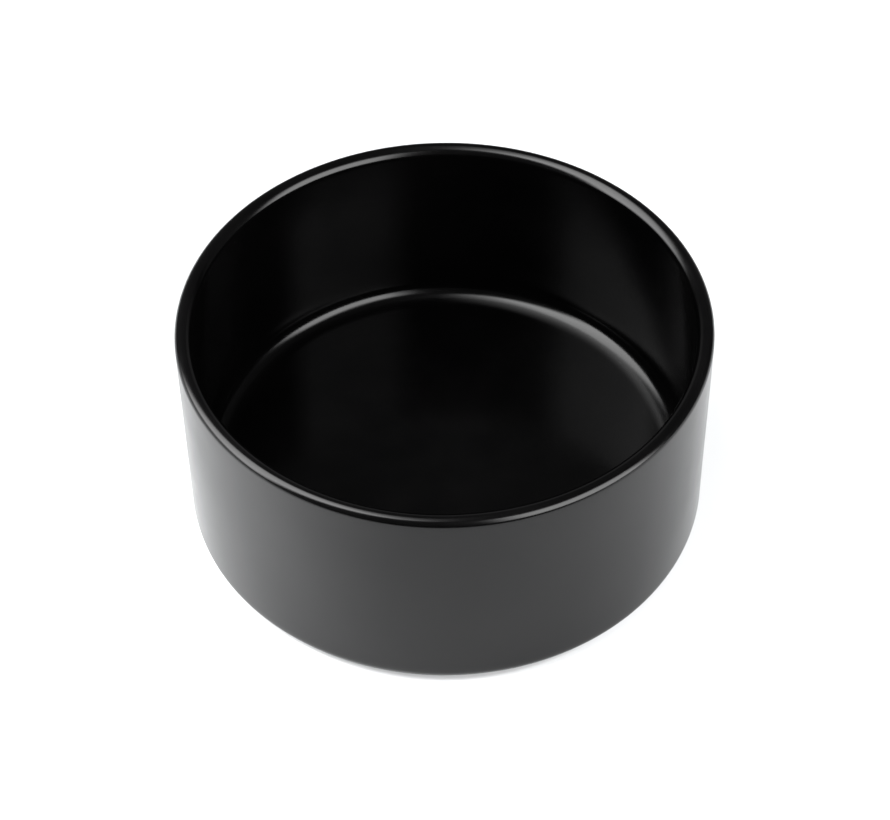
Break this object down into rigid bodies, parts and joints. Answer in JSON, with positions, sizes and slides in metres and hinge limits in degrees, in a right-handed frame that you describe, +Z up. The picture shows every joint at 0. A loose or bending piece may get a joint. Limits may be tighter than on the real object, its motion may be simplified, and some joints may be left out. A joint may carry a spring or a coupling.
{
  "type": "candle jar",
  "caption": "Low, wide, straight-sided round candle jar, empty: a stoneware body with a black satin glaze, a rounded rim and a bare clay foot ring.",
  "frame": {"origin": "centre of the foot ring's contact plane, on the jar's axis", "axes": "+Z up along the jar's axis, out of the mouth; X and Y lie on the table, and the jar is round, so their directions are free"},
  "size_m": [0.12, 0.12, 0.0545],
  "materials": {
    "bare_stoneware": "matt unglazed fired clay, fine grit",
    "black_glaze": "black satin-gloss glaze"
  },
  "bodies": {
    "root": {"stoneware_body": "bare_stoneware", "outer_glaze": "black_glaze", "liner_glaze": "black_glaze", "underside_glaze": "black_glaze"}
  },
  "joints": []
}
